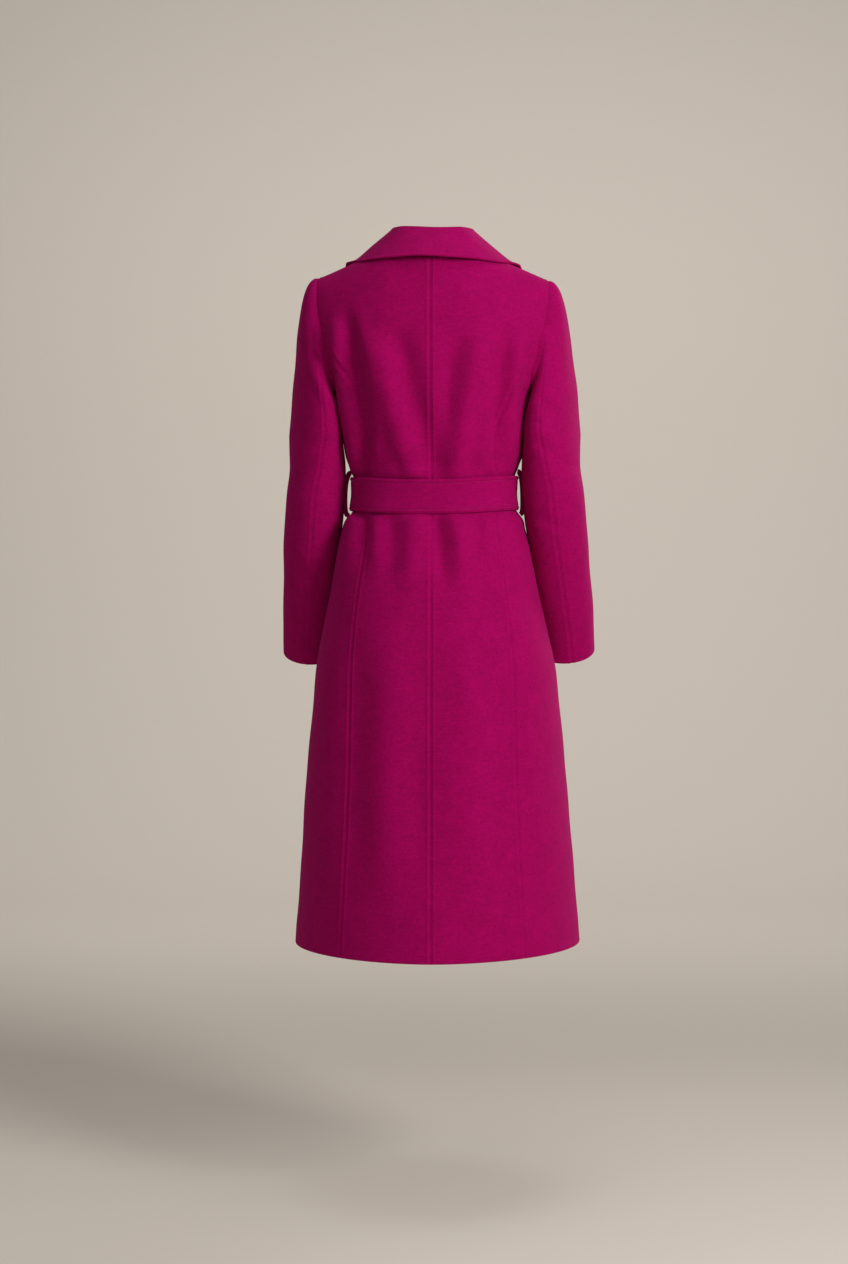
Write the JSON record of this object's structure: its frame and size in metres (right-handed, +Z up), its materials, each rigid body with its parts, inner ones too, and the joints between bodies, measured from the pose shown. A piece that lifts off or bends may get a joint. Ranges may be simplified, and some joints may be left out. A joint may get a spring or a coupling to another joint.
{
  "type": "wool wrap coat",
  "caption": "Calf-length belted wool wrap coat with a shawl collar, princess seams and set-in sleeves, in the hollow shape it keeps when worn.",
  "frame": {"origin": "middle of the neck opening, level with the inner ends of the shoulder seams, where the wearer's neck and shoulders hold the coat", "axes": "+Z up along the coat from hem to neck, -Y out of the lapped fronts, +Y out of the back, +X towards the wearer's left sleeve"},
  "size_m": [0.5194, 0.4445, 1.1569],
  "materials": {
    "melton": "matt napped wool coating",
    "undercollar": "matt napped wool coating",
    "belt": "matt napped wool coating, folded and topstitched"
  },
  "bodies": {
    "root": {"back_centre_left": "melton", "back_centre_right": "melton", "back_side_left": "melton", "back_side_right": "melton", "front_left": "melton", "front_right": "melton", "top_sleeve_left": "melton", "top_sleeve_right": "melton", "under_sleeve_left": "melton", "under_sleeve_right": "melton", "collar": "undercollar", "belt_band": "belt", "belt_knot": "belt", "belt_end_left": "belt", "belt_end_right": "belt", "belt_loop_left": "belt", "belt_loop_right": "belt"}
  },
  "joints": []
}
